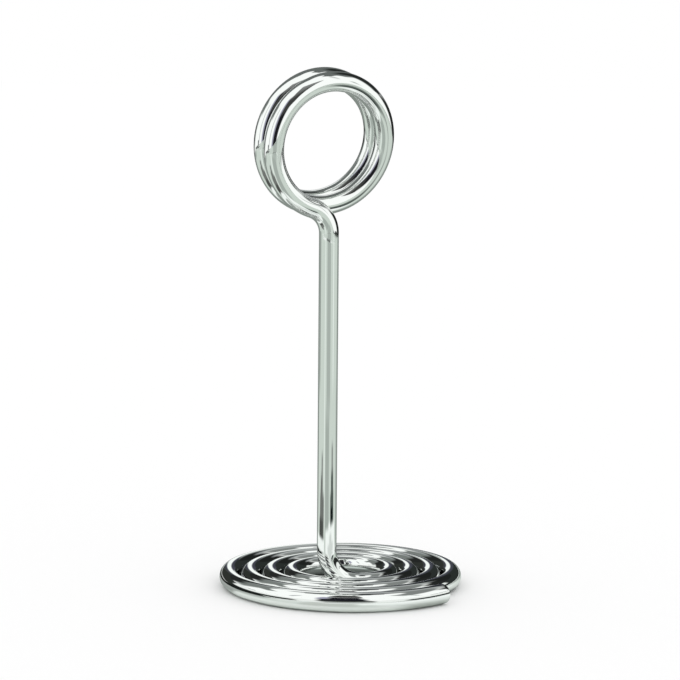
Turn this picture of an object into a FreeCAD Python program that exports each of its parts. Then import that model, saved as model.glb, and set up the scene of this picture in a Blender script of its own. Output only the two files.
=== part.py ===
import FreeCAD, Part
import math
import os

# Table number stand: one length of round wire, wound flat into a base, bent up into a stem,
# stepped aside at a knee and coiled into a ring whose turns hold a card between them.
# +Z is up, the ring faces -Y, and the origin is on the ground under the middle of the stand.

# Driving dimensions, in millimetres and degrees. Bends are given by their clear inner radius.
wire_diameter = 3.8
end_rounding = 0.4

base_inner_radius = 6.3
base_turn_gap = 0.3
base_turns = 4.02
hook_inner_radius = 3.8
hook_angle = 32
bend_inner_radius = 4.8
bend_heading = -18.5

knee_height = 73.6
knee_inner_radius = 3.2

ring_inner_radius = 10.35
ring_turns = 2.0
ring_lead_angle = 18.5
ring_tilt = 10.0
card_gap = 0.7

# How finely the spiral and the coil are divided into arcs
arcs_per_turn = 12

# Sizes that follow from them, along the middle of the wire
wire_radius = wire_diameter / 2
base_radius = base_inner_radius + wire_radius
base_pitch = wire_diameter + base_turn_gap
hook_radius = hook_inner_radius + wire_radius
bend_radius = bend_inner_radius + wire_radius
knee_radius = knee_inner_radius + wire_radius
ring_radius = ring_inner_radius + wire_radius
ring_pitch = wire_diameter + card_gap

up = FreeCAD.Vector(0, 0, 1)


def unit(vector):
    return vector / vector.Length


def level(degrees):
    """Level direction at an angle from +X."""
    angle = math.radians(degrees)
    return FreeCAD.Vector(math.cos(angle), math.sin(angle), 0)


def levelArc(start, radius, fromAngle, toAngle):
    """Level arc from start, turning left between two angles about its centre, and its end."""
    centre = start - level(fromAngle) * radius
    circle = Part.Circle(centre, up, radius)
    arc = Part.Arc(circle, math.radians(fromAngle), math.radians(toAngle))
    return arc.toShape(), centre + level(toAngle) * radius


def tangentArc(start, heading, end):
    """Arc that leaves start along heading and stops at end, and its heading there."""
    chord = end - start
    alongChord = unit(chord)
    inward = unit(chord - heading * chord.dot(heading))
    radius = chord.dot(chord) / (2 * chord.dot(inward))
    centre = start + inward * radius
    middle = centre + unit(start + end - centre * 2) * radius
    endHeading = alongChord * (2 * heading.dot(alongChord)) - heading
    return Part.Arc(start, middle, end).toShape(), endHeading


def baseSpiral(start):
    """Flat spiral of tangent arcs, from its inner start outwards.

    A tighter hook comes first and draws the wire in, clear of the turn around it. After it each
    arc's radius is a little larger than the last one's, and its centre steps back by as much,
    so neighbouring turns are concentric and the gap between them is even all round.
    """
    hookStartAngle = bend_heading - 90
    angle = hookStartAngle + hook_angle
    lastAngle = angle + 360 * base_turns
    hook, point = levelArc(start, hook_radius, hookStartAngle, angle)
    radius = base_radius
    edges = [hook]
    while lastAngle - angle > 0.01:
        nextAngle = min(angle + 360 / arcs_per_turn, lastAngle)
        edge, point = levelArc(point, radius, angle, nextAngle)
        edges.append(edge)
        radius = radius + base_pitch / arcs_per_turn
        angle = nextAngle
    return edges


def baseAndBend():
    """Edges from the outer cut end of the base to the foot of the stem, and that foot."""
    bendStart = level(bend_heading) * bend_radius + up * wire_radius
    stemFoot = up * (bend_radius + wire_radius)
    edges = baseSpiral(bendStart)
    edges.reverse()
    bend, heading = tangentArc(bendStart, level(bend_heading) * -1, stemFoot)
    edges.append(bend)
    return edges, stemFoot


def ringCoil(start, heading, axis, centre):
    """Coil of tangent arcs through points spaced evenly along a right-handed helix."""
    steps = max(3, round(arcs_per_turn * ring_turns))
    stepAngle = 360 * ring_turns / steps
    stepAlong = axis * (ring_pitch * ring_turns / steps)
    point = start
    edges = []
    for i in range(1, steps + 1):
        spoke = FreeCAD.Rotation(axis, stepAngle * i).multVec(start - centre)
        nextPoint = centre + spoke + stepAlong * i
        edge, heading = tangentArc(point, heading, nextPoint)
        edges.append(edge)
        point = nextPoint
    return edges


def kneeAndRing():
    """Edges from the top of the stem to the cut end of the ring, and that stem top.

    The short lead after the knee is a tangent of the ring, just long enough to bring the
    ring's centre over the stem.
    """
    tilt = math.radians(ring_tilt)
    lead = math.radians(ring_lead_angle)
    helixAngle = math.atan(ring_pitch / (2 * math.pi * ring_radius))
    ringSide = FreeCAD.Vector(1, 0, 0)
    ringAxis = FreeCAD.Vector(0, math.cos(tilt), math.sin(tilt))
    ringUp = ringSide.cross(ringAxis)

    aroundRing = ringUp * math.sin(lead) - ringSide * math.cos(lead)
    leadHeading = aroundRing * math.cos(helixAngle) + ringAxis * math.sin(helixAngle)
    leadLength = ring_radius * math.tan(lead) / math.cos(helixAngle)
    kneeTrim = knee_radius * math.tan(leadHeading.getAngle(up) / 2)

    knee = up * knee_height
    stemTop = knee - up * kneeTrim
    kneeEnd = knee + leadHeading * kneeTrim
    ringStart = knee + leadHeading * leadLength
    toCentre = ringSide * math.sin(lead) + ringUp * math.cos(lead)

    kneeArc, heading = tangentArc(stemTop, up, kneeEnd)
    edges = [kneeArc, Part.LineSegment(kneeEnd, ringStart).toShape()]
    edges.extend(ringCoil(ringStart, leadHeading, ringAxis, ringStart + toCentre * ring_radius))
    return edges, stemTop


def standWire():
    """The whole wire as one solid, with its two cut ends lightly rounded."""
    lower, stemFoot = baseAndBend()
    upper, stemTop = kneeAndRing()
    path = Part.Wire(lower + [Part.LineSegment(stemFoot, stemTop).toShape()] + upper)

    outerArc = lower[0]
    cutEnd = outerArc.valueAt(outerArc.LastParameter)
    cutHeading = outerArc.tangentAt(outerArc.LastParameter)
    section = Part.Face(Part.Wire(Part.Circle(cutEnd, cutHeading, wire_radius).toShape()))
    solid = path.makePipe(section)

    rims = []
    for face in solid.Faces:
        if isinstance(face.Surface, Part.Plane):
            rims.extend(face.Edges)
    solid = solid.makeFillet(end_rounding, rims).Solids[0]

    middle = path.optimalBoundingBox(False, False).Center
    solid.translate(FreeCAD.Vector(-middle.x, -middle.y, 0))
    return solid


nodes = {"stand_wire": standWire()}

os.makedirs("parts", exist_ok=True)
for name, solid in nodes.items():
    solid.exportStep("parts/" + name + ".step")
    print(name, "valid", solid.isValid(), "volume", round(solid.Volume, 1), "mm3")
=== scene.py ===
import math

import bpy
import numpy as np
from mathutils import Matrix


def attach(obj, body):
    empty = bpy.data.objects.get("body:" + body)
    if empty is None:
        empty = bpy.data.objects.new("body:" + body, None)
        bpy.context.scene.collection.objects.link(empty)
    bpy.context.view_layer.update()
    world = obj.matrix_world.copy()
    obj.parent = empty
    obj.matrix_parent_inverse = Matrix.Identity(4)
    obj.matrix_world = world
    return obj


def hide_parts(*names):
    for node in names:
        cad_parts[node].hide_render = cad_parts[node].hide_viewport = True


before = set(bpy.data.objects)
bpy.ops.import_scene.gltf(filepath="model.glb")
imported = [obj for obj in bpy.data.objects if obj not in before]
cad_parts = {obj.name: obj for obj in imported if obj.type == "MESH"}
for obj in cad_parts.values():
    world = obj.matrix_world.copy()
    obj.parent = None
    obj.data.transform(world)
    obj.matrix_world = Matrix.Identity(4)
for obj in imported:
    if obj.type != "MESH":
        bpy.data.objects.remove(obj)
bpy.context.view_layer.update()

print("stand: frame loaded")

up = np.array([0.0, 0.0, 1.0])
quarterTurn = 90
halfTurn = 180
fullTurn = 360


def unit(vector):  # a vector divided by its length
    return vector / np.linalg.norm(vector)


def level(degrees):  # level direction: the cosine of its angle along x and the sine of it along y
    angle = math.radians(degrees)
    return np.array([math.cos(angle), math.sin(angle), 0.0])


# The wire's line, in metres and degrees. Radii run to the middle of the wire.
line = {
    "wireRadius": 0.0019,
    "baseRadius": 0.0082, "basePitch": 0.0041, "baseTurns": 4.02,
    "hookRadius": 0.0057, "hookAngle": 32.0,
    "bendRadius": 0.0067, "bendHeading": -18.5,
    "stemFrom": 0.02, "stemTo": 0.05,
    "kneeHeight": 0.0736, "kneeRadius": 0.0051,
    "ringRadius": 0.01225, "ringPitch": 0.0045, "ringTurns": 2, "ringTilt": 10.0, "ringLead": 18.5,
    "arcsPerTurn": 12, "smallestArc": 0.01,
    "stepAngle": 2.4, "stepLength": 0.004, "fewestSteps": 2,
}

# What each row of the line holds
pointPart = slice(0, 3)
headingPart = slice(3, 6)
sidePart = slice(6, 9)
lengthPart = 9


def newWalk(point, heading, side):  # where the wire is, where it heads, and a side that never twists
    return {"point": point, "heading": heading, "side": side, "length": 0.0, "rows": []}


def keepRows(walk, points, headings, sides, lengths):  # one row a step, with its parts side by side
    walk["rows"].append(np.column_stack([points, headings, sides, lengths]))


# A bend carries the walk round an axis: the point moves on a circle of that radius, and the heading
# and the side are turned about the axis by the same angle.
def turn(walk, axis, radius, angle):
    point, heading, side = walk["point"], walk["heading"], walk["side"]
    inward = np.cross(axis, heading)
    steps = max(line["fewestSteps"], math.ceil(math.degrees(angle) / line["stepAngle"]))
    a = np.linspace(0, angle, steps + 1)[:, None]
    points = point + inward * radius * (1 - np.cos(a)) + heading * radius * np.sin(a)
    headings = heading * np.cos(a) + inward * np.sin(a)
    sides = axis * (axis @ side) * (1 - np.cos(a)) + side * np.cos(a) + np.cross(axis, side) * np.sin(a)
    lengths = walk["length"] + radius * a
    keepRows(walk, points[:-1], headings[:-1], sides[:-1], lengths[:-1])
    walk.update(point=points[-1], heading=headings[-1], side=sides[-1], length=float(lengths[-1, 0]))


# A straight run: the point moves along the heading, and nothing turns
def straight(walk, length):
    steps = max(1, math.ceil(length / line["stepLength"]))
    s = np.linspace(0, length, steps + 1)[:-1, None]
    ones = np.ones_like(s)
    points = walk["point"] + walk["heading"] * s
    keepRows(walk, points, walk["heading"] * ones, walk["side"] * ones, walk["length"] + s)
    walk.update(point=walk["point"] + walk["heading"] * length, length=walk["length"] + length)


# A bend that leaves along the heading and ends at a given point. Its radius is the chord squared over
# twice the chord's share inwards, and the sine of half its angle is half the chord over that radius.
def turnTo(walk, end):
    chord = end - walk["point"]
    inward = unit(chord - walk["heading"] * (chord @ walk["heading"]))
    radius = (chord @ chord) / (2 * (chord @ inward))
    angle = 2 * math.asin(min(1.0, np.linalg.norm(chord) / (2 * radius)))
    turn(walk, np.cross(walk["heading"], inward), radius, angle)


# The base is wound from its outer cut end inwards, so its arcs are listed from the inside first and
# then walked backwards. The hook is the tightest, and each arc outside the first one after it is larger
# than the last by an equal part of the pitch.
def baseArcs():
    start = level(line["bendHeading"]) * line["bendRadius"] + up * line["wireRadius"]
    angle = line["bendHeading"] - quarterTurn + line["hookAngle"]
    lastAngle = angle + fullTurn * line["baseTurns"]
    arcs = [(line["hookRadius"], line["hookAngle"])]
    radius = line["baseRadius"]
    step = fullTurn / line["arcsPerTurn"]
    while lastAngle - angle > line["smallestArc"]:
        span = min(step, lastAngle - angle)
        arcs.append((radius, span))
        radius += line["basePitch"] / line["arcsPerTurn"]
        angle += span
    return start, arcs


# The outer cut end, found by walking the arcs outwards from the bend: an arc moves the point by its
# radius times the difference of the directions to its two ends.
def outerEnd(start, arcs):
    point, angle = start, line["bendHeading"] - quarterTurn
    for radius, span in arcs:
        point = point + (level(angle + span) - level(angle)) * radius
        angle += span
    return point, angle


# The whole line: base, bend, stem, knee, a short lead, and a coil whose arcs end on points spaced
# evenly along a helix. The lead is as long as the ring's radius times the tangent of its angle, over the
# cosine of the helix's, which brings the ring's middle over the stem. The knee takes its radius times
# the tangent of half its angle off the straight on either side.
def wireLine():
    start, arcs = baseArcs()
    cutEnd, angle = outerEnd(start, arcs)
    walk = newWalk(cutEnd, level(angle - quarterTurn), up)
    for radius, span in reversed(arcs):
        turn(walk, -up, radius, math.radians(span))
    turn(walk, unit(np.cross(walk["heading"], up)), line["bendRadius"], math.pi / 2)

    tilt = math.radians(line["ringTilt"])
    lead = math.radians(line["ringLead"])
    helixAngle = math.atan(line["ringPitch"] / (2 * math.pi * line["ringRadius"]))
    ringSide = np.array([1.0, 0.0, 0.0])
    ringAxis = np.array([0.0, math.cos(tilt), math.sin(tilt)])
    ringUp = np.cross(ringSide, ringAxis)
    around = ringUp * math.sin(lead) - ringSide * math.cos(lead)
    leadHeading = around * math.cos(helixAngle) + ringAxis * math.sin(helixAngle)
    leadLength = line["ringRadius"] * math.tan(lead) / math.cos(helixAngle)
    kneeAngle = math.acos(leadHeading @ up)
    kneeTrim = line["kneeRadius"] * math.tan(kneeAngle / 2)

    straight(walk, line["kneeHeight"] - kneeTrim - walk["point"][2])
    turn(walk, unit(np.cross(up, leadHeading)), line["kneeRadius"], kneeAngle)
    straight(walk, leadLength - kneeTrim)
    ringStart = walk["point"]
    centre = ringStart + (ringSide * math.sin(lead) + ringUp * math.cos(lead)) * line["ringRadius"]
    spoke = ringStart - centre
    across = np.cross(ringAxis, spoke)
    steps = line["arcsPerTurn"] * line["ringTurns"]
    for i in range(1, steps + 1):
        a = 2 * math.pi * line["ringTurns"] * i / steps
        along = ringAxis * line["ringPitch"] * line["ringTurns"] * i / steps
        turnTo(walk, centre + spoke * math.cos(a) + across * math.sin(a) + along)
    keepRows(walk, walk["point"][None], walk["heading"][None], walk["side"][None], [[walk["length"]]])
    rows = np.vstack(walk["rows"])
    middle = (rows[:, pointPart].min(0) + rows[:, pointPart].max(0)) / 2
    rows[:, :2] -= middle[:2]
    return rows


tube = {
    "name": "bent_wire", "around": 72,
    "endRounding": 0.0004, "roundingSteps": 6, "endRings": 5, "clearOfEnd": 1.5,
}


# A cut end is closed by rings. At an angle of the rounding a ring stands in from the end by the rounding
# times one less the sine, and is narrower than the wire by it times one less the cosine. The rest lie in
# the flat face and shrink evenly towards the pole.
def endRings(row, into):
    radius, rounding = line["wireRadius"], tube["endRounding"]
    t = np.linspace(0, math.pi / 2, tube["roundingSteps"] + 1)
    flat = np.linspace(0, 1, tube["endRings"] + 1)[1:-1]
    inwards = into * np.r_[rounding * (1 - np.sin(t)), np.zeros(len(flat))]
    radii = np.r_[radius - rounding * (1 - np.cos(t)), (radius - rounding) * (1 - flat)]
    rings = np.repeat(row[None], len(inwards), axis=0)
    rings[:, pointPart] += row[headingPart] * inwards[:, None]
    rings[:, lengthPart] += inwards
    return rings, radii


# The line's rows at the wire's full radius, with the rings of a cut end before and after them in place
# of the rows that lie too near that end
def ringRows(rows):
    firstRings, firstRadii = endRings(rows[0], 1)
    lastRings, lastRadii = endRings(rows[-1], -1)
    lengths = rows[:, lengthPart]
    clear = tube["endRounding"] * tube["clearOfEnd"]
    keep = (lengths > clear) & (lengths < lengths[-1] - clear)
    allRows = np.vstack([firstRings[::-1], rows[keep], lastRings])
    radii = np.r_[firstRadii[::-1], np.full(keep.sum(), line["wireRadius"]), lastRadii]
    return allRows, radii


# The round section is carried along the line: a point is the line's point, plus the radius times the
# cosine of its angle along the side and the sine of it along the third direction. The same cosine and
# sine are kept with the length along the wire, which is the wire drawn out straight.
def buildWire(lineRows):
    rows, radii = ringRows(lineRows)
    around = tube["around"]
    v = np.linspace(0, 2 * math.pi, around, endpoint=False)
    sides = rows[:, sidePart]
    thirds = np.cross(rows[:, headingPart], sides)
    lengths = rows[:, lengthPart]
    spokes = sides[:, None] * np.cos(v)[None, :, None] + thirds[:, None] * np.sin(v)[None, :, None]
    grid = rows[:, None, pointPart] + spokes * radii[:, None, None]
    drawn = np.stack([np.cos(v) * radii[:, None], np.sin(v) * radii[:, None],
                      np.repeat(lengths[:, None], around, axis=1)], axis=2)
    poles = np.array([rows[0, pointPart], rows[-1, pointPart]])
    polesDrawn = np.array([[0, 0, lengths[0]], [0, 0, lengths[-1]]])
    count = len(rows)
    points = np.vstack([grid.reshape(-1, 3), poles])
    drawn = np.vstack([drawn.reshape(-1, 3), polesDrawn])

    i, j = np.meshgrid(np.arange(count - 1), np.arange(around), indexing="ij")
    k = (j + 1) % around
    quads = np.stack([i * around + j, i * around + k, (i + 1) * around + k, (i + 1) * around + j],
                     axis=2).reshape(-1, 4)
    j = np.arange(around)
    k = (j + 1) % around
    firstFan = np.stack([np.full(around, count * around), k, j], axis=1)
    last = (count - 1) * around
    lastFan = np.stack([np.full(around, count * around + 1), last + j, last + k], axis=1)

    mesh = bpy.data.meshes.new(tube["name"])
    mesh.from_pydata(points, [], quads.tolist() + firstFan.tolist() + lastFan.tolist())
    mesh.shade_smooth()
    attribute = mesh.attributes.new("drawnOut", "FLOAT_VECTOR", "POINT")
    attribute.data.foreach_set("vector", drawn.astype(np.float32).ravel())
    mesh.update()
    piece = bpy.data.objects.new(tube["name"], mesh)
    bpy.context.scene.collection.objects.link(piece)
    return piece


standLine = wireLine()
wire = buildWire(standLine)
print("stand: wire", len(wire.data.polygons), "faces")


# Polished chrome plate. Draw marks run along the wire, so their noise is read from the wire as if it
# were drawn out straight: far finer across it than along it. A slow wave bends the reflections a
# little, and a smear dulls them in places.
chrome = {
    "colour": (0.90, 0.915, 0.90, 1), "roughness": 0.03,
    "marksAcross": 2600, "marksAlong": 28, "marksDetail": 2.0, "marksHeight": 0.0000016,
    "waveAcross": 420, "waveAlong": 40, "waveDetail": 1.0, "waveHeight": 0.000005,
    "smearScale": 190, "smearStretch": 3, "smearDetail": 3.0,
    "smearFrom": 0.5, "smearTo": 0.8, "smearRough": 0.07,
}


# The marks' bump is laid over the wave's. Roughness goes from the plain value to the smear's in step
# with the smear's noise, between the two ends of its range.
def chromeMaterial():
    material = bpy.data.materials.new("polishedChrome")
    material.use_nodes = True
    tree = material.node_tree
    shader = tree.nodes["Principled BSDF"]
    shader.inputs["Base Color"].default_value = chrome["colour"]
    shader.inputs["Metallic"].default_value = 1.0

    drawn = tree.nodes.new("ShaderNodeAttribute")
    drawn.attribute_name = "drawnOut"

    def stretched(across, along, detail):  # noise of the drawn-out place times across, across and along
        mapping = tree.nodes.new("ShaderNodeMapping")
        mapping.inputs["Scale"].default_value = (across, across, along)
        noise = tree.nodes.new("ShaderNodeTexNoise")
        noise.inputs["Scale"].default_value = 1.0
        noise.inputs["Detail"].default_value = detail
        tree.links.new(drawn.outputs["Vector"], mapping.inputs["Vector"])
        tree.links.new(mapping.outputs["Vector"], noise.inputs["Vector"])
        return noise.outputs["Fac"]

    def bump(height, distance, before=None):  # the surface raised by the height times the distance
        node = tree.nodes.new("ShaderNodeBump")
        node.inputs["Strength"].default_value = 1.0
        node.inputs["Distance"].default_value = distance
        tree.links.new(height, node.inputs["Height"])
        if before is not None:
            tree.links.new(before, node.inputs["Normal"])
        return node.outputs["Normal"]

    waveNoise = stretched(chrome["waveAcross"], chrome["waveAlong"], chrome["waveDetail"])
    wave = bump(waveNoise, chrome["waveHeight"])
    marksNoise = stretched(chrome["marksAcross"], chrome["marksAlong"], chrome["marksDetail"])
    marks = bump(marksNoise, chrome["marksHeight"], wave)
    tree.links.new(marks, shader.inputs["Normal"])

    smear = tree.nodes.new("ShaderNodeMapRange")
    smear.inputs["From Min"].default_value = chrome["smearFrom"]
    smear.inputs["From Max"].default_value = chrome["smearTo"]
    smear.inputs["To Min"].default_value = chrome["roughness"]
    smear.inputs["To Max"].default_value = chrome["smearRough"]
    smearAlong = chrome["smearScale"] / chrome["smearStretch"]
    smearNoise = stretched(chrome["smearScale"], smearAlong, chrome["smearDetail"])
    tree.links.new(smearNoise, smear.inputs["Value"])
    tree.links.new(smear.outputs["Result"], shader.inputs["Roughness"])
    return material


wire.data.materials.append(chromeMaterial())
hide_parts("stand_wire")
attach(wire, "root")
print("stand: chrome")

# Camera: it stands in front of the stem, turned about it, and its aim is given by pitch, yaw and roll
camera = {
    "azimuth": 26.988, "distance": 0.456, "height": 0.10328,
    "pitch": 6.7297, "yaw": 0.2849, "roll": 0.4483,
    "focalPixels": 2395.1, "imagePixels": 680, "sensor": 36.0,
    "clipStart": 0.01, "clipEnd": 100,
}


def footOfStem(rows):  # the place of the stem's first row, brought down to the ground
    heights = rows[:, 2]
    stem = rows[(heights > line["stemFrom"]) & (heights < line["stemTo"])]
    return np.array([stem[0, 0], stem[0, 1], 0.0])


# The camera looks along its pitch and yaw. Its right and up are turned about that view by the roll, and
# all of it is turned by the azimuth about the upright line through the stem.
def placeCamera(stem):
    pitch, yaw, roll = (math.radians(camera[k]) for k in ("pitch", "yaw", "roll"))
    forward = np.array([math.sin(yaw) * math.cos(pitch), math.cos(yaw) * math.cos(pitch), -math.sin(pitch)])
    right = unit(np.cross(forward, up))
    above = np.cross(right, forward)
    rolledRight = right * math.cos(roll) + above * math.sin(roll)
    rolledUp = above * math.cos(roll) - right * math.sin(roll)
    a = -math.radians(camera["azimuth"])
    about = np.array([[math.cos(a), -math.sin(a), 0], [math.sin(a), math.cos(a), 0], [0, 0, 1]])
    matrix = np.eye(4)
    matrix[:3, 0] = about @ rolledRight
    matrix[:3, 1] = about @ rolledUp
    matrix[:3, 2] = about @ -forward
    matrix[:3, 3] = about @ np.array([0, -camera["distance"], camera["height"]]) + stem
    data = bpy.data.cameras.new("camera")
    data.sensor_width = camera["sensor"]
    data.lens = camera["focalPixels"] / camera["imagePixels"] * camera["sensor"]
    data.clip_start = camera["clipStart"]
    data.clip_end = camera["clipEnd"]
    item = bpy.data.objects.new("camera", data)
    bpy.context.scene.collection.objects.link(item)
    item.matrix_world = Matrix(matrix.tolist())
    bpy.context.scene.camera = item


stemFoot = footOfStem(standLine)
placeCamera(stemFoot)

# The floor is plain white. The rest of the studio is a round room that the chrome alone sees, its colours
# painted
# reflections: a near wall with a dome over it, a far wall behind its gap, cards laid just above the floor,
# and a few sheets hung inside. Each is a plain colour with cards laid over it in turn. A card's turn is the
# azimuth of its middle, its half width and its soft edge, in degrees from the camera's side and positive to
# the right. Its rise is from, to and soft edge: metres of height on the walls, metres of radius on the
# ground, and the share of the way outwards on a sheet.
studio = {
    "azimuths": 361, "front": -90, "sheetRows": 40,
    "worldLight": 1.055, "worldSeen": 1.0, "worldColour": (1, 1, 1, 1),
}

allRound = (0, 181, 1)
allAcross = (-1, 2, 0.1)
outOfSight = 9

boxWhite = (1.05, 1.07, 1.06)
wallWhite = (0.90, 0.93, 0.91)
archWhite = (0.93, 0.97, 0.95)
archGrey = (0.66, 0.70, 0.68)
beamWhite = (0.82, 0.88, 0.84)
groundPale = (0.62, 0.685, 0.635)
groundGrey = (0.44, 0.485, 0.455)
groundFront = (0.42, 0.465, 0.435)
streakGrey = (0.17, 0.18, 0.17)
edgeDark = (0.06, 0.065, 0.062)
leftDark = (0.015, 0.017, 0.016)
rightDark = (0.02, 0.023, 0.021)
frontDark = (0.012, 0.012, 0.016)

nearWall = {
    "radius": 0.15, "low": 0.061, "top": 0.25, "rows": 120, "domeRows": 40, "colour": boxWhite,
    "cards": [
        # behind: grey, darker at its foot but for a bright gap, and a band across the dome
        {"turn": (180, 36, 8), "rise": (0, 0.15, 0.03), "colour": (0.34, 0.36, 0.365)},
        {"turn": (180, 30, 8), "rise": (0, 0.096, 0.02), "colour": (0.12, 0.13, 0.13)},
        {"turn": (-176, 4, 3), "rise": (0, 0.096, 0.02), "colour": (0.80, 0.84, 0.82)},
        {"turn": (158, 18, 10), "rise": (0.15, 0.262, 0.03), "colour": (0.36, 0.38, 0.38)},
        {"turn": (180, 48, 16), "rise": (0.262, 0.386, 0.012), "colour": (0.20, 0.21, 0.215)},
        # the far corners, dark below and grey above, first on the right and then on the left
        {"turn": (124, 21, 9), "rise": (0, 0.15, 0.05), "colour": (0.02, 0.022, 0.021)},
        {"turn": (104, 44, 12), "rise": (0.16, 0.30, 0.03), "colour": (0.23, 0.245, 0.24)},
        {"turn": (152, 22, 8), "rise": (0, 0.12, 0.03), "colour": leftDark},
        {"turn": (-124, 30, 10), "rise": (0.15, 0.20, 0.02), "colour": (0.20, 0.22, 0.21)},
        {"turn": (-132, 22, 12), "rise": (0.07, 0.17, 0.04), "colour": (0.20, 0.22, 0.21)},
        {"turn": (-152, 24, 8), "rise": (0, 0.11, 0.03), "colour": (0.02, 0.022, 0.021)},
        # the dark front, with a violet edge on its left
        {"turn": (-26, 6, 5), "rise": (0, 0.24, 0.05), "colour": (0.36, 0.36, 0.47)},
        {"turn": (-4, 17, 9), "rise": (0, 0.235, 0.04), "colour": frontDark},
        # a thin strip on either side, and dark lower edges
        {"turn": (66, 2, 3), "rise": (0.10, 0.2, 0.03), "colour": (0.42, 0.46, 0.44)},
        {"turn": (-56, 2, 3), "rise": (0.065, 0.2, 0.02), "colour": (0.25, 0.26, 0.28)},
        {"turn": (-64, 5, 4), "rise": (0, 0.077, 0.004), "colour": (0.11, 0.12, 0.118)},
        {"turn": (-86, 14, 6), "rise": (0, 0.065, 0.002), "colour": edgeDark},
        {"turn": (86, 14, 6), "rise": (0, 0.065, 0.002), "colour": edgeDark},
    ],
}

farWall = {
    "radius": 0.7, "low": 0.02, "top": 0.42, "rows": 120, "colour": wallWhite,
    "cards": [
        # in front: grey below and dark above
        {"turn": (0, 22, 6), "rise": (0.0, 0.12, 0.05), "colour": (0.38, 0.40, 0.39)},
        {"turn": (-3, 25, 8), "rise": (0.14, 0.5, 0.06), "colour": (0.06, 0.065, 0.06)},
        # a low dark band on either side
        {"turn": (-94, 47, 8), "rise": (0, 0.14, 0.03), "colour": leftDark},
        {"turn": (98, 48, 10), "rise": (0, 0.135, 0.03), "colour": rightDark},
        # behind: dark, with one white strip that edges the turns of the base
        {"turn": (180, 16, 3), "rise": (0, 0.5, 0.02), "colour": (0.06, 0.064, 0.084)},
        {"turn": (-176, 5, 3), "rise": (0, 0.5, 0.02), "colour": (0.98, 1.02, 1.0)},
        {"turn": (-145, 21, 6), "rise": (0, 0.5, 0.02), "colour": (0.03, 0.034, 0.03)},
        {"turn": (146, 25, 6), "rise": (0, 0.5, 0.02), "colour": (0.025, 0.03, 0.028)},
    ],
}

floor = {"radius": 8.0, "inner": 0.0001, "drop": 0.00006, "white": 0.95}

floorCards = {
    "radius": 8.0, "inner": 0.0001, "start": 0.002, "rows": 240, "drop": 0.00002,
    "colour": (0.60, 0.665, 0.615),
    "cards": [
        {"turn": allRound, "rise": (0, 0.048, 0.01), "colour": (0.71, 0.755, 0.725)},
        # grey behind, far off on the left, and in front
        {"turn": (186, 72, 10), "rise": (0.3, outOfSight, 0.08), "colour": groundGrey},
        {"turn": (174, 68, 10), "rise": (0.03, 0.3, 0.08), "colour": groundGrey},
        {"turn": (180, 60, 10), "rise": (0.03, outOfSight, 0.01), "colour": (0.24, 0.27, 0.25)},
        {"turn": (-106, 7, 7), "rise": (0.3, outOfSight, 0.1), "colour": (0.27, 0.30, 0.28)},
        {"turn": (6, 20, 8), "rise": (0.25, outOfSight, 0.08), "colour": (0.40, 0.445, 0.415)},
        {"turn": (-3, 20, 8), "rise": (0.03, 0.25, 0.08), "colour": (0.38, 0.425, 0.395)},
        # light beams that run up the stem
        {"turn": (-35, 4, 5), "rise": (0.06, outOfSight, 0.02), "colour": beamWhite},
        {"turn": (60, 5, 6), "rise": (0.3, outOfSight, 0.1), "colour": beamWhite},
        # dark streaks low on the stem: on its left
        {"turn": (-60, 7, 6), "rise": (0.10, 0.174, 0.02), "colour": (0.19, 0.20, 0.195)},
        {"turn": (-64, 13, 8), "rise": (0.05, 0.140, 0.02), "colour": streakGrey},
        {"turn": (-60, 24, 8), "rise": (0.05, 0.116, 0.02), "colour": streakGrey},
        {"turn": (-68, 22, 8), "rise": (0.034, 0.084, 0.01), "colour": (0.075, 0.08, 0.075)},
        # and on its right
        {"turn": (57, 9, 8), "rise": (0.09, 0.184, 0.02), "colour": (0.25, 0.27, 0.255)},
        {"turn": (56, 14, 8), "rise": (0.07, 0.142, 0.02), "colour": (0.09, 0.11, 0.10)},
        {"turn": (54, 20, 8), "rise": (0.07, 0.113, 0.012), "colour": (0.085, 0.105, 0.095)},
        {"turn": (50, 13, 8), "rise": (0.078, 0.094, 0.005), "colour": (0.006, 0.01, 0.01)},
        # the white arch at the stem's foot, and the grey inside it
        {"turn": (24, 9, 8), "rise": (0.028, 0.079, 0.006), "colour": archWhite},
        {"turn": (36, 54, 10), "rise": (0.028, 0.073, 0.010), "colour": archWhite},
        {"turn": (-74, 44, 10), "rise": (0.045, 0.061, 0.006), "colour": archWhite},
        {"turn": (35, 30, 14), "rise": (0.045, 0.055, 0.006), "colour": archGrey},
        {"turn": (35, 12, 12), "rise": (0.045, 0.065, 0.008), "colour": archGrey},
        # close to the base, painted shade and light: darker in front, on the left and on the right, a
        # painted bright edge, and painted shadow beneath it, but lighter in its hole
        {"turn": (-8, 14, 8), "rise": (0.022, 0.042, 0.008), "colour": (0.57, 0.60, 0.57)},
        {"turn": (-60, 14, 8), "rise": (0.027, 0.045, 0.003), "colour": (0.42, 0.45, 0.43)},
        {"turn": (-94, 26, 8), "rise": (0.0238, 0.045, 0.003), "colour": (0.38, 0.41, 0.39)},
        {"turn": (0, 66, 8), "rise": (0.0226, 0.0256, 0.002), "colour": (0.94, 0.98, 0.95)},
        {"turn": (50, 22, 16), "rise": (0.0226, 0.0265, 0.002), "colour": (0.55, 0.59, 0.56)},
        # painted shadow under the base, which the chrome shows in its lower rims
        {"turn": allRound, "rise": (0, 0.0226, 0.0012), "colour": (0.20, 0.22, 0.21)},
        {"turn": allRound, "rise": (-1, 0.0066, 0.001), "colour": (0.62, 0.68, 0.65)},
    ],
}

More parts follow.
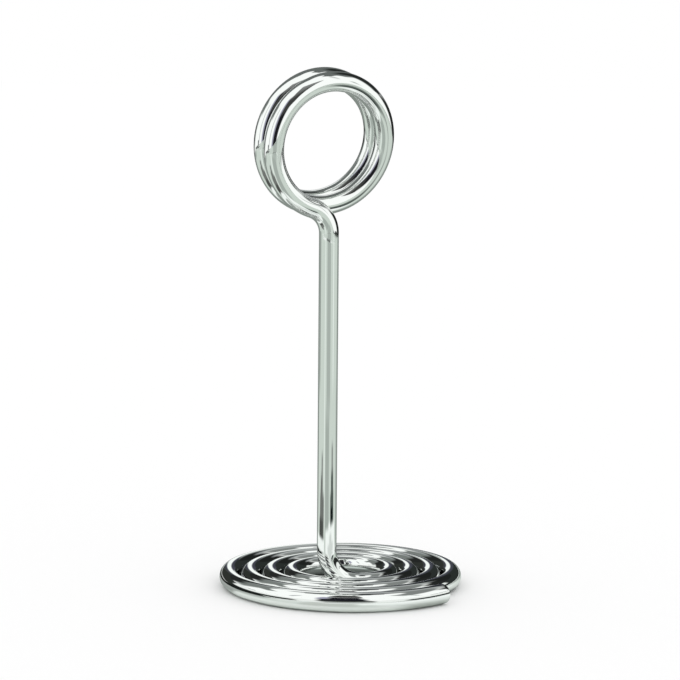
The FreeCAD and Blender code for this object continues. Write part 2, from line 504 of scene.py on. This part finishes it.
# A sheet's inner and outer edges are a radius and a height each. Its turn is the azimuth of its middle
# and its half width, and flat is how far from the middle it keeps its full shape.
sheets = {
    # two blinds under the near wall, whose tops the ring sees as ground
    "lowerBlind": {
        "inner": (0.085, 0.0620), "outer": (0.15, 0.0571), "turn": (0, 78), "flat": 60,
        "aboutStem": True, "colour": groundPale,
        "cards": [
            {"turn": (6, 20, 8), "rise": allAcross, "colour": groundFront},
            {"turn": (74, 26, 6), "rise": (-1, 0.12, 0.04), "colour": (0.03, 0.035, 0.033)},
        ],
    },
    "upperBlind": {
        "inner": (0.12, 0.0632), "outer": (0.15, 0.061), "turn": (0, 78), "flat": 60,
        "aboutStem": True, "colour": groundPale,
        "cards": [{"turn": (6, 20, 8), "rise": allAcross, "colour": groundFront}],
    },
    # a sill on the left, which ends the ring's stripes in a dark line, and its white underside
    "leftSill": {
        "inner": (0.104, 0.0634), "outer": (0.15, 0.0614), "turn": (-70, 22), "flat": 16,
        "aboutStem": True, "colour": (0.13, 0.14, 0.135),
        "cards": [{"turn": (-80, 9, 4), "rise": (-1, 0.4, 0.1), "colour": groundPale}],
    },
    "leftSillUnder": {
        "inner": (0.104, 0.0630), "outer": (0.15, 0.0610), "turn": (-70, 22), "flat": 16,
        "aboutStem": True, "colour": boxWhite, "cards": [],
    },
    # dark over the front, and a shade close over the ring's back
    "frontShade": {
        "inner": (0.021, 0.11), "outer": (0.078, 0.11), "turn": (-4, 20), "flat": 20,
        "aboutStem": False, "colour": (0.05, 0.052, 0.05),
        "cards": [{"turn": allRound, "rise": (-1, 0.1, 0.5), "colour": (0.34, 0.35, 0.345)}],
    },
    "backShade": {
        "inner": (0.036, 0.105), "outer": (0.010, 0.152), "turn": (158, 98), "flat": 98,
        "aboutStem": True, "colour": (0.14, 0.155, 0.15),
        "cards": [
            {"turn": (130, 26, 14), "rise": (-1, 0.66, 0.2), "colour": (0.02, 0.023, 0.022)},
            {"turn": (76, 22, 10), "rise": (-1, 0.34, 0.12), "colour": boxWhite},
            {"turn": (66, 12, 8), "rise": (-1, 0.56, 0.1), "colour": boxWhite},
        ],
    },
    # the blinds' white undersides, which the base sees
    "lowerBlindUnder": {
        "inner": (0.085, 0.0617), "outer": (0.15, 0.0568), "turn": (0, 78), "flat": 60,
        "aboutStem": True, "colour": boxWhite,
        "cards": [{"turn": (-4, 22, 9), "rise": allAcross, "colour": frontDark}],
    },
    "upperBlindUnder": {
        "inner": (0.12, 0.0629), "outer": (0.15, 0.0607), "turn": (0, 78), "flat": 60,
        "aboutStem": True, "colour": boxWhite,
        "cards": [{"turn": (-4, 22, 9), "rise": allAcross, "colour": frontDark}],
    },
    # a low dark kerb beside the base, and a skirt from the far wall's foot out to the ground
    "kerb": {
        "inner": (0.033, 0.0026), "outer": (0.033, 0.0), "turn": (-88, 44), "flat": 30,
        "aboutStem": False, "colour": (0.012, 0.015, 0.013), "cards": [],
    },
    "skirt": {
        "inner": (0.7, 0.02), "outer": (3.0, 0.0), "turn": (0, 180), "flat": 180,
        "aboutStem": False, "colour": wallWhite,
        "cards": [
            {"turn": (-92, 42, 8), "rise": allAcross, "colour": leftDark},
            {"turn": (82, 28, 8), "rise": allAcross, "colour": rightDark},
        ],
    },
}


def smooth(value, low, high):  # 0 below low, 1 above high, and t * t * (3 - 2 * t) between
    t = np.clip((value - low) / (high - low), 0, 1)
    return t * t * (3 - 2 * t)


# Colours of a surface from its azimuths and rises: the plain colour, and over it each card in turn,
# covering fully inside its span and fading to nothing across the soft edge.
def layCards(settings, azimuth, rise):
    colour = np.ones(azimuth.shape + (3,)) * settings["colour"]
    for card in settings["cards"]:
        middle, half, soft = card["turn"]
        low, high, softRise = card["rise"]
        away = np.abs((azimuth - middle + halfTurn) % fullTurn - halfTurn)
        cover = 1 - smooth(away, half - soft / 2, half + soft / 2)
        cover = cover * smooth(rise, low - softRise / 2, low + softRise / 2)
        cover = cover * (1 - smooth(rise, high - softRise / 2, high + softRise / 2))
        colour = colour + (np.array(card["colour"]) - colour) * cover[:, :, None]
    return colour


# A stage surface is a grid of points, one row above the other. Each stands at its height, and the radius
# times the cosine and the sine of its azimuth away from the centre. Without a colour it stays unpainted.
def stageSurface(name, azimuth, radius, height, colour, material, centre=(0.0, 0.0)):
    rows, around = azimuth.shape
    a = np.radians(azimuth + studio["front"] - camera["azimuth"])
    points = np.stack([centre[0] + radius * np.cos(a), centre[1] + radius * np.sin(a), height], axis=2)
    i, j = np.meshgrid(np.arange(rows - 1), np.arange(around - 1), indexing="ij")
    corner = i * around + j
    quads = np.stack([corner, corner + 1, corner + around + 1, corner + around], axis=2)
    mesh = bpy.data.meshes.new(name)
    mesh.from_pydata(points.reshape(-1, 3), [], quads.reshape(-1, 4).tolist())
    if colour is not None:
        opaque = np.dstack([colour, np.ones((rows, around))])
        attribute = mesh.color_attributes.new("stageColour", "FLOAT_COLOR", "POINT")
        attribute.data.foreach_set("color", opaque.astype(np.float32).ravel())
    mesh.materials.append(material)
    mesh.update()
    item = bpy.data.objects.new(name, mesh)
    bpy.context.scene.collection.objects.link(item)
    return item


# A wall or the ground is a profile of radius and height turned all the way about the upright axis.
def roundSurface(name, radius, height, rise, settings, material):
    azimuth = np.linspace(-halfTurn, halfTurn, studio["azimuths"])
    azimuth, radius = np.meshgrid(azimuth, radius)
    height = np.repeat(height[:, None], studio["azimuths"], axis=1)
    rise = np.repeat(rise[:, None], studio["azimuths"], axis=1)
    colour = layCards(settings, azimuth, rise) if "cards" in settings else None
    return stageSurface(name, azimuth, radius, height, colour, material)


# A sheet runs straight from its inner to its outer edge. Past its flat part the inner edge draws
# outwards, and meets the outer edge where the sheet ends.
def sheetSurface(name, settings, material):
    middle, half = settings["turn"]
    azimuth = np.linspace(middle - half, middle + half, studio["azimuths"])
    azimuth, share = np.meshgrid(azimuth, np.linspace(0, 1, studio["sheetRows"]))
    if settings["flat"] < half:
        cut = smooth(np.abs(azimuth - middle), settings["flat"], half)
    else:
        cut = np.zeros_like(azimuth)
    along = cut + (1 - cut) * share
    inner, outer = settings["inner"], settings["outer"]
    radius = inner[0] + (outer[0] - inner[0]) * along
    height = inner[1] + (outer[1] - inner[1]) * along
    centre = stemFoot[:2] if settings["aboutStem"] else (0.0, 0.0)
    colour = layCards(settings, azimuth, share)
    return stageSurface(name, azimuth, radius, height, colour, material, centre)


def onlyInChrome(item):  # seen in reflections, and neither by the camera nor by the light
    item.visible_camera = False
    item.visible_diffuse = False
    item.visible_transmission = False
    item.visible_volume_scatter = False
    item.visible_shadow = False


def stageMaterial(name):  # a bare material, with its surface socket and the painted cards' colour
    material = bpy.data.materials.new(name)
    material.use_nodes = True
    tree = material.node_tree
    tree.nodes.remove(tree.nodes["Principled BSDF"])
    colour = tree.nodes.new("ShaderNodeVertexColor")
    colour.layer_name = "stageColour"
    return material, tree, colour.outputs["Color"], tree.nodes["Material Output"].inputs["Surface"]


def panelMaterial():  # walls and sheets glow in their painted colour
    material, tree, colour, surface = stageMaterial("studioPanels")
    glow = tree.nodes.new("ShaderNodeEmission")
    tree.links.new(colour, glow.inputs["Color"])
    tree.links.new(glow.outputs["Emission"], surface)
    return material


def matteMaterial():  # cards laid on the floor, lit and shaded as it is
    material, tree, colour, surface = stageMaterial("floorCards")
    matte = tree.nodes.new("ShaderNodeBsdfDiffuse")
    tree.links.new(colour, matte.inputs["Color"])
    tree.links.new(matte.outputs["BSDF"], surface)
    return material


def floorMaterial():  # plain matte white
    material = bpy.data.materials.new("paleFloor")
    material.use_nodes = True
    shader = material.node_tree.nodes["Principled BSDF"]
    shader.inputs["Base Color"].default_value = (floor["white"], floor["white"], floor["white"], 1)
    shader.inputs["Roughness"].default_value = 1.0
    shader.inputs["Specular IOR Level"].default_value = 0.0
    return material


# The near wall stands upright to its top and closes over in a quarter circle of its own radius. The rows
# of the floor's cards widen outwards, each radius the same number of times the last.
def buildStudio():
    panel = panelMaterial()
    dome = np.linspace(0, math.pi / 2, nearWall["domeRows"])
    upright = np.linspace(nearWall["low"], nearWall["top"], nearWall["rows"])
    radius = np.r_[np.full(nearWall["rows"], nearWall["radius"]), nearWall["radius"] * np.cos(dome)]
    height = np.r_[upright, nearWall["top"] + nearWall["radius"] * np.sin(dome)]
    onlyInChrome(roundSurface("nearWall", radius, height, height, nearWall, panel))

    radius = np.full(farWall["rows"], farWall["radius"])
    height = np.linspace(farWall["low"], farWall["top"], farWall["rows"])
    onlyInChrome(roundSurface("farWall", radius, height, height, farWall, panel))

    for name, settings in sheets.items():
        onlyInChrome(sheetSurface(name, settings, panel))

    outwards = np.geomspace(floorCards["start"], floorCards["radius"], floorCards["rows"])
    radius = np.r_[floorCards["inner"], outwards]
    height = np.full(len(radius), -floorCards["drop"])
    onlyInChrome(roundSurface("floorCards", radius, height, radius, floorCards, matteMaterial()))

    radius = np.array([floor["inner"], floor["radius"]])
    height = np.full(len(radius), -floor["drop"])
    roundSurface("floor", radius, height, radius, floor, floorMaterial())


# The world is white. Seen straight, in the metal or through glass it has its seen strength, and as
# light it has its own.
def buildWorld():
    world = bpy.data.worlds.new("studio")
    world.use_nodes = True
    tree = world.node_tree
    path = tree.nodes.new("ShaderNodeLightPath")
    seen = path.outputs["Is Camera Ray"]
    for ray in ("Is Glossy Ray", "Is Transmission Ray"):
        either = tree.nodes.new("ShaderNodeMath")
        either.operation = "MAXIMUM"
        tree.links.new(seen, either.inputs[0])
        tree.links.new(path.outputs[ray], either.inputs[1])
        seen = either.outputs["Value"]
    strength = tree.nodes.new("ShaderNodeMix")
    strength.data_type = "FLOAT"
    strength.inputs["A"].default_value = studio["worldLight"]
    strength.inputs["B"].default_value = studio["worldSeen"]
    tree.links.new(seen, strength.inputs["Factor"])
    tree.links.new(strength.outputs["Result"], tree.nodes["Background"].inputs["Strength"])
    tree.nodes["Background"].inputs["Color"].default_value = studio["worldColour"]
    bpy.context.scene.world = world


buildStudio()
buildWorld()
bpy.context.scene.view_settings.view_transform = "Standard"
print("stand: studio")
